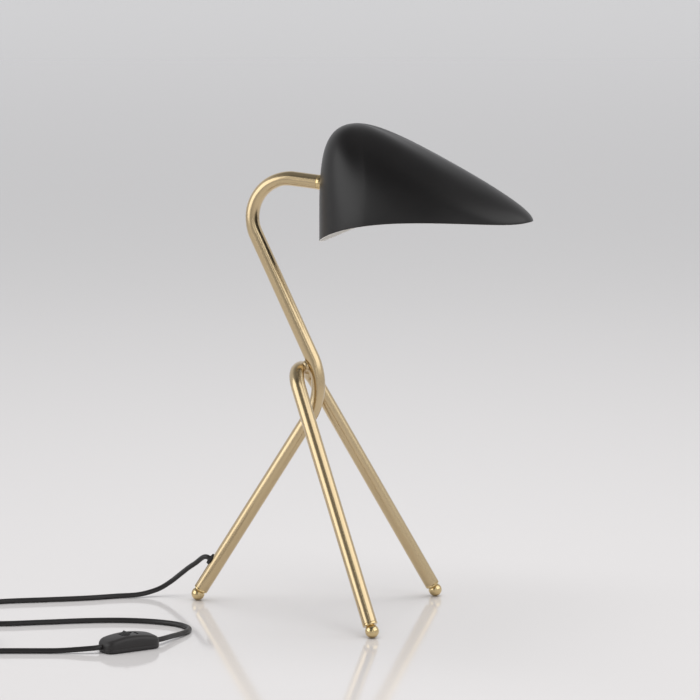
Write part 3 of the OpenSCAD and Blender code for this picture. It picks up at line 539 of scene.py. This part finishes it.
# %% The hairpin
STANCE_LENGTH = 212.0
HALF_WIDTH = 94.5
HAIRPIN_RADIUS = 24.0
BRAZE_GAP = 1.8
BEND_DRAW = 0.12
SEAT = math.radians(21.5)
knee_turn = math.acos(float(leg_way @ upper_way))
knee_centre = KNEE + unit(upper_way - leg_way) * KNEE_RADIUS / math.cos(knee_turn / 2)
apex = knee_centre + (KNEE_RADIUS - 2 * TUBE_R + 2 * BEND_DRAW - BRAZE_GAP) * np.array(
    [math.cos(SEAT), 0, math.sin(SEAT)])
front_line = np.array([STANCE_LENGTH, 0, BALL_Z])
hairpin_rise = float(np.linalg.norm(apex - front_line))
hairpin_up = unit(apex - front_line)
bend_rise = hairpin_rise - HAIRPIN_RADIUS
splay = math.atan2(HALF_WIDTH, bend_rise) - math.asin(HAIRPIN_RADIUS / math.hypot(HALF_WIDTH, bend_rise))


def on_hairpin(across, up):
    """A point of the hairpin's plane, from the middle between the front feet."""
    return front_line + ACROSS * across + hairpin_up * up


def front_leg_way(side):
    """The way up a front leg: side is 1 for the left leg and -1 for the right."""
    return ACROSS * side * -math.sin(splay) + hairpin_up * math.cos(splay)


hairpin_corners = [on_hairpin(HALF_WIDTH, 0) + front_leg_way(1) * FOOT_RUN,
    on_hairpin(0, bend_rise + HAIRPIN_RADIUS / math.sin(splay)),
    on_hairpin(-HALF_WIDTH, 0) + front_leg_way(-1) * FOOT_RUN]
hairpin_line, hairpin_bent = rounded_line(hairpin_corners, (HAIRPIN_RADIUS,), step=0.8)
through = np.cross(ACROSS, hairpin_up)
hairpin = grid_mesh("hairpin_legs", (open_tube(hairpin_line, hairpin_bent, through) + REAR_FOOT) * MM,
    satin_brass, flip=True, loop=True)
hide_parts("hairpin_tube")
print("hairpin:", round(run_of(hairpin_line)), "mm, apex", apex.round(2))

# %% [markdown]
# Each foot is a turned and polished ball with a narrow neck and a ring that closes the tube. It is
# a profile turned round the leg. The ball's underside is worn flat where it stands.

# %% The three feet
def turned(name, profile, at, way, material, sides=64, floor_z=None):
    """The profile holds radius and height pairs. It turns round the line from at along way, and
    nothing of it goes below floor_z."""
    profile = np.asarray(profile, float)
    side = unit(np.cross(way, [0.3, 1.0, 0.2]))
    up = np.cross(side, way)
    turn = np.linspace(0, 2 * np.pi, sides, endpoint=False)[None, :, None]
    points = at + profile[:, 1, None, None] * way + profile[:, 0, None, None] * (
        side * np.cos(turn) + up * np.sin(turn))
    if floor_z is not None:
        points[..., 2] = np.maximum(points[..., 2], floor_z)
    return grid_mesh(name, (points + REAR_FOOT) * MM, material, first_pole=profile[0, 0] == 0,
        last_pole=profile[-1, 0] == 0, flip=True)


NECK_R = 4.0
FOOT_RING, RING_EDGE, PEG = 2.0, 0.3, 12.0
neck_rise = math.sqrt(BALL_R**2 - NECK_R**2)
ring_low, ring_top = FOOT_RUN - FOOT_RING, FOOT_RUN - GAP
half_turn = np.linspace(-np.pi / 2, math.asin(neck_rise / BALL_R), 40)
ball = np.stack([BALL_R * np.cos(half_turn), BALL_R * np.sin(half_turn)], axis=1)
ball[0, 0] = 0
foot_profile = np.vstack([ball, [[NECK_R, ring_low], [TUBE_R - RING_EDGE, ring_low],
    [TUBE_R, ring_low + RING_EDGE], [TUBE_R, ring_top - RING_EDGE], [TUBE_R - RING_EDGE, ring_top],
    [BORE_R - GAP, ring_top], [BORE_R - GAP, FOOT_RUN + PEG], [0, FOOT_RUN + PEG]]])
for label, node, at, way in (("rear", "foot_rear", rear_ball, leg_way),
        ("right", "foot_front_right", on_hairpin(-HALF_WIDTH, 0), front_leg_way(-1)),
        ("left", "foot_front_left", on_hairpin(HALF_WIDTH, 0), front_leg_way(1))):
    foot = turned(label + "_ball_foot", foot_profile, at, way, polished_brass, floor_z=0.0)
    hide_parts(node)

# %% [markdown]
# The shade is one sheet, spun and trimmed, lacquered satin black outside and white inside. Its
# peak is rounded, its back is steep, and its front runs down to a low nose. Every line from the peak
# to the rim is one smooth curve with five control points, and these points slide steadily from the
# back over the side to the nose. The rim itself is two half ellipses that dip at the back.

# %% The shade's surface
SHADE_REACH, SHADE_LENGTH, SHADE_WIDTH = 130.0, 205.0, 124.0
PEAK = np.array([34.0, 0, 468.0])  # from the shade's back
WIDE_INSET, RIM_HEIGHT, REAR_DROP, NOSE_DIP, NOSE_LIFT = 65.0, 383.0, 27.0, 4.6, 2.6
SHEET = 1.0
# Each row of three holds a value at the nose, at the side and at the back
SHOULDER, INWARD, UPRIGHT, LIP = (0.18, 0.5, 1.09), (0.1, 0.1, 0.0), (0.266, 0.6, 0.65), (9, 22, 22)


def shade_surface(phi, t):
    """Points at angle phi, 0 at the nose, and at share t of the way down. A curve of five points
    weighs them by 1, 4, 6, 4, 1 times powers of t and 1 - t."""
    front = np.maximum(np.cos(phi), 0)
    back = np.maximum(-np.cos(phi), 0)
    back = back * back * (3 - 2 * back)

    def blend(v):
        return v[0] * front + v[2] * back + v[1] * (1 - front - back)

    x = WIDE_INSET + np.where(np.cos(phi) > 0, SHADE_LENGTH - WIDE_INSET, WIDE_INSET) * np.cos(phi)
    share = np.clip(x / SHADE_LENGTH, 0, 1)
    z = RIM_HEIGHT - REAR_DROP * (1 - share) ** 4.5 - NOSE_DIP * share**4 + NOSE_LIFT * share**24
    low = np.stack([x, SHADE_WIDTH / 2 * np.sin(phi), z], axis=-1)
    flat = (low - PEAK) * [1, 1, 0]
    up = np.zeros_like(low)
    up[..., 2] = 1
    rise = (PEAK[2] - z)[..., None]
    points = (PEAK + 0 * low, PEAK + flat * blend(SHOULDER)[..., None],
        low - flat * blend(INWARD)[..., None] + up * rise * blend(UPRIGHT)[..., None],
        low + up * blend(LIP)[..., None], low)
    s, t = (1 - t)[..., None], t[..., None]
    weights = (s**4, 4 * t * s**3, 6 * t**2 * s**2, 4 * t**3 * s, t**4)
    return sum(w * p for w, p in zip(weights, points))


def shade_normal(phi, t):
    """The way out of the sheet: across the line round it and the line down it."""
    h = 1e-4
    low = np.maximum(t - h, 2e-3)
    around = shade_surface(phi + h, np.maximum(t, low)) - shade_surface(phi - h, np.maximum(t, low))
    down = shade_surface(phi, np.minimum(np.maximum(t + h, low + h), 1)) - shade_surface(phi, low)
    return unit(-np.cross(around, down))


# %% The shade's mesh: outer skin, rounded edge, lining
AROUND, DOWN = 240, 72
EDGE_RINGS = 7
PEAK_CROWDING = 1.15
phi, t = np.meshgrid(np.arange(AROUND) * 2 * np.pi / AROUND,
    np.linspace(0, 1, DOWN + 1)[1:] ** PEAK_CROWDING)
skin = shade_surface(phi, t)
facing = shade_normal(phi, t)
edge_down = unit(skin[-1] - skin[-2])
skin[-1] -= edge_down * SHEET / 2
round_off = np.linspace(0, np.pi, EDGE_RINGS + 2)[1:-1, None, None]
rim_edge = skin[-1] - facing[-1] * SHEET / 2 + SHEET / 2 * (
    facing[-1] * np.cos(round_off) + edge_down * np.sin(round_off))
lining = (skin - facing * SHEET)[::-1]
top = np.broadcast_to(PEAK, (1, AROUND, 3))
shade_points = np.concatenate([top, skin, rim_edge, lining, top - [0, 0, SHEET]])
shade_points = (shade_points + [SHADE_REACH, 0, 0] + REAR_FOOT) * MM
satin_black = finish("black satin lacquer", "#080707", 0.37, 1.2 * MM, bump=0.10, spread=0.04,
    tint="#0e0c0c", patch=30 * MM, ior=1.47)
white_lacquer = finish("white lacquer", "#f0eeea", 0.42, 1.5 * MM, bump=0.08, tint="#e9e6df")
shade = grid_mesh("shade_shell", shade_points, satin_black, first_pole=True, last_pole=True, flip=True)
shade.data.materials.append(white_lacquer)
# The white starts below the outer skin's last ring and the first ring of the edge
row = np.repeat(np.arange(len(shade_points) - 1), AROUND)
shade.data.polygons.foreach_set("material_index", (row > DOWN + 1).astype(np.int32))
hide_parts("shade")
print("shade:", len(shade.data.polygons), "faces")

# %% [markdown]
# Moulded and turned parts never have knife edges. The CAD solids do, so each one that shows is
# copied here, its coplanar triangles are merged, and a small bevel rounds its sharp edges. The copy
# then stands for the CAD node.

# %% Helper: a CAD solid with rounded edges
def softened(node, material, width, body="lamp", angle=32):
    """width is the bevel's, and edges that turn by more than angle degrees get it."""
    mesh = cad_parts[node].data.copy()
    mesh.name = node + "_finished"
    shape = bmesh.new()
    shape.from_mesh(mesh)
    bmesh.ops.remove_doubles(shape, verts=shape.verts, dist=1e-6)
    bmesh.ops.dissolve_limit(shape, angle_limit=math.radians(0.5), verts=shape.verts, edges=shape.edges)
    shape.to_mesh(mesh)
    shape.free()
    mesh.materials.clear()
    piece = add_piece(node + "_finished", mesh, material, body)
    bevel = piece.modifiers.new("rounded edges", "BEVEL")
    bevel.width, bevel.segments = width, 2
    bevel.limit_method, bevel.angle_limit = "ANGLE", math.radians(angle)
    bevel.use_clamp_overlap = True
    solid = bpy.data.meshes.new_from_object(piece.evaluated_get(bpy.context.evaluated_depsgraph_get()))
    piece.modifiers.clear()
    piece.data = solid
    solid.shade_smooth()
    solid.set_sharp_from_angle(angle=math.radians(angle))
    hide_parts(node)
    return piece


# %% [markdown]
# The remaining finishes. Zinc and nickel plate, bright brass contacts, glazed ceramic, opal glass
# and black glassy vitrite are all hidden or half hidden, but some of them show from below. The
# switch and the plug are moulded in matte black plastic with a fine even texture, and the
# lampholder is glossy black phenolic.

# %% Finishes of the small parts
zinc = finish("zinc plated steel", "#b9bcc0", 0.34, 0.6 * MM, bump=0.1, tint="#a9a79c", patch=6 * MM,
    metallic=1.0)
nickel = finish("nickel plate", "#cfcbc2", 0.20, 0.8 * MM, bump=0.05, tint="#c0bab0", patch=8 * MM,
    metallic=1.0)
contact = finish("contact brass", "#d6b878", 0.26, 0.5 * MM, bump=0.1, tint="#c19b5c", patch=6 * MM,
    metallic=1.0)
copper = finish("stranded copper", "#c9825a", 0.35, 0.5 * MM, bump=0.5, tint="#a3603c", patch=3 * MM,
    metallic=1.0, stretch=(1, 1, 0.2))
moulded = finish("matte moulded plastic", "#1e1c1c", 0.48, 0.35 * MM, bump=0.25, spread=0.05, tint="#242121",
    patch=25 * MM)
ribbed = finish("glossy rocker plastic", "#1b1a1a", 0.33, 0.5 * MM, bump=0.1, tint="#242222", patch=6 * MM)
phenolic = finish("black phenolic", "#1a1716", 0.24, 2.0 * MM, bump=0.05, spread=0.05, tint="#251f1c",
    patch=12 * MM)
ceramic = finish("glazed ceramic", "#eeece4", 0.16, 2.0 * MM, bump=0.08, tint="#e4dfd2", patch=15 * MM,
    coat=0.4)
vitrite = finish("black vitrite", "#0d0d10", 0.12, 1.0 * MM, bump=0.05, tint="#15151c", patch=4 * MM)
rubber = finish("matt rubber", "#1a1919", 0.68, 0.4 * MM, bump=0.3, tint="#242222", patch=8 * MM)
opal = finish("opal glass", "#f4f1e8", 0.18, 4.0 * MM, bump=0.02, spread=0.03, tint="#eae4d4", patch=30 * MM)

# %% The joint, the lampholder and the bulb's cap
softened("knot_braze", satin_brass, 0.4 * MM, angle=50)
softened("arm_end_ring", polished_brass, 0.35 * MM)
softened("shade_nut", zinc, 0.3 * MM)
softened("lock_washer", zinc, 0.1 * MM)
softened("holder_cap", phenolic, 0.5 * MM)
softened("holder_sleeve_ring", phenolic, 0.5 * MM)
softened("cord_grommet", rubber, 0.35 * MM)
for material, nodes in (
        (zinc, ("arm_end_bush", "threaded_nipple", "holder_screws", "switch_screws")),
        (contact, ("thread_shell", "centre_contact", "switch_contacts")),
        (nickel, ("bulb_cap", "bulb_contact")), (pvc_cord, ("inner_cord", "switch_leads")),
        (ceramic, ("holder_core",)), (copper, ("lead_wires",)), (vitrite, ("bulb_insulator",)),
        (moulded, ("cord_clamps",))):
    for node in nodes:
        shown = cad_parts[node].data
        shown.materials.clear()
        shown.materials.append(material)

# %% The bulb's globe: a flared neck that runs into a ball, closed underneath by a flat disc
GLOBE_R, GLOBE_START, GLOBE_TOP = 22.5, 55.9, 113.4
NECK_LOW, NECK_NEXT = (8.75, 0), (9.15, 2)
HIP = math.radians(42)
globe_middle = GLOBE_TOP - GLOBE_R - GLOBE_START
sweep = np.linspace(HIP, math.pi, 48)
ball_skin = np.stack([GLOBE_R * np.sin(sweep), globe_middle - GLOBE_R * np.cos(sweep)], axis=1)
ball_skin[-1, 0] = 0
flare = smooth_line([NECK_LOW, NECK_NEXT, ball_skin[0] - [2.6, 3], ball_skin[0]], 5)
globe = turned("bulb_globe", np.vstack([[[0, 0]], flare, ball_skin[1:]]), WALL_POINT + end_way * GLOBE_START,
    end_way, opal)
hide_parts("bulb_glass")

# %% The switch and the plug
switch_pieces = [softened("switch_base", moulded, 0.25 * MM),
    softened("switch_cover", moulded, 0.3 * MM),
    softened("switch_rocker", ribbed, 0.2 * MM, body="rocker")]
plug_pieces = [softened("plug_relief", pvc_cord, 0.25 * MM),
    softened("plug_body", moulded, 0.4 * MM, angle=40),
    softened("plug_sleeves", moulded, 0.15 * MM),
    softened("plug_pins", nickel, 0.2 * MM)]

# %% [markdown]
# A paper twist tie holds the coil together. It goes round both layers of the coil, on the side where
# the plug lies. Underneath it is pressed flat between the coil and the table.

# %% The coil's tie
TIE_CLEAR, TIE_ROUND = 0.5, 2.0
THICK, THIN = 0.35, 0.04
inner_r = COIL_RADIUS - COIL_PITCH * COIL_TURNS / 2 - CORD_D / 2 - TIE_CLEAR
outer_r = COIL_RADIUS + CORD_D / 2 + TIE_CLEAR
tie_top = LAY + COIL_PITCH + CORD_D / 2 + TIE_CLEAR
tie_loop = []
for x, start in ((outer_r - TIE_ROUND, 0), (inner_r + TIE_ROUND, np.pi / 2)):
    tie_loop += [(x + TIE_ROUND * math.cos(a), tie_top - TIE_ROUND + TIE_ROUND * math.sin(a))
        for a in start + np.linspace(0, np.pi / 2, 7)]
# Down the inner side, flat under the coil and up the outer side
tie_loop += [(inner_r, 2.0), (inner_r + 0.3, 0.6), (inner_r + 1.2, 0.05), (outer_r - 1.2, 0.05),
    (outer_r - 0.3, 0.6), (outer_r, 2.0)]
tie_loop = np.array(tie_loop)
tie_thick = np.where(tie_loop[:, 1] < 0.1, THIN, THICK)
tie_middle = COIL_CENTRE + tie_loop[:, :1] * COIL_WAY + tie_loop[:, 1:] * UP
loop_way = unit(np.roll(tie_middle, -1, axis=0) - np.roll(tie_middle, 1, axis=0))
tie_out = np.cross(loop_way, COIL_SIDE)
# The section: paper 3.2 mm wide with a wire in its middle
section = [(-1.6, -0.4), (-0.6, -0.5), (0, -1), (0.6, -0.5), (1.6, -0.4), (1.6, 0.4), (0.6, 0.5), (0, 1),
    (-0.6, 0.5), (-1.6, 0.4)]
tie_rings = np.stack([tie_middle + a * COIL_SIDE + b * tie_thick[:, None] * tie_out
    for a, b in section], axis=1)
tie_rings = np.concatenate([tie_rings, tie_rings[:1]])
tie_paper = finish("paper twist tie", "#4b4846", 0.7, 0.5 * MM, bump=0.3, tint="#3c3a38")
tie = grid_mesh("coil_tie", (tie_rings + REAR_FOOT) * MM, tie_paper, loop=True)

# %% Colours are shown as written, through the plain view transform
bpy.context.scene.view_settings.view_transform = "Standard"
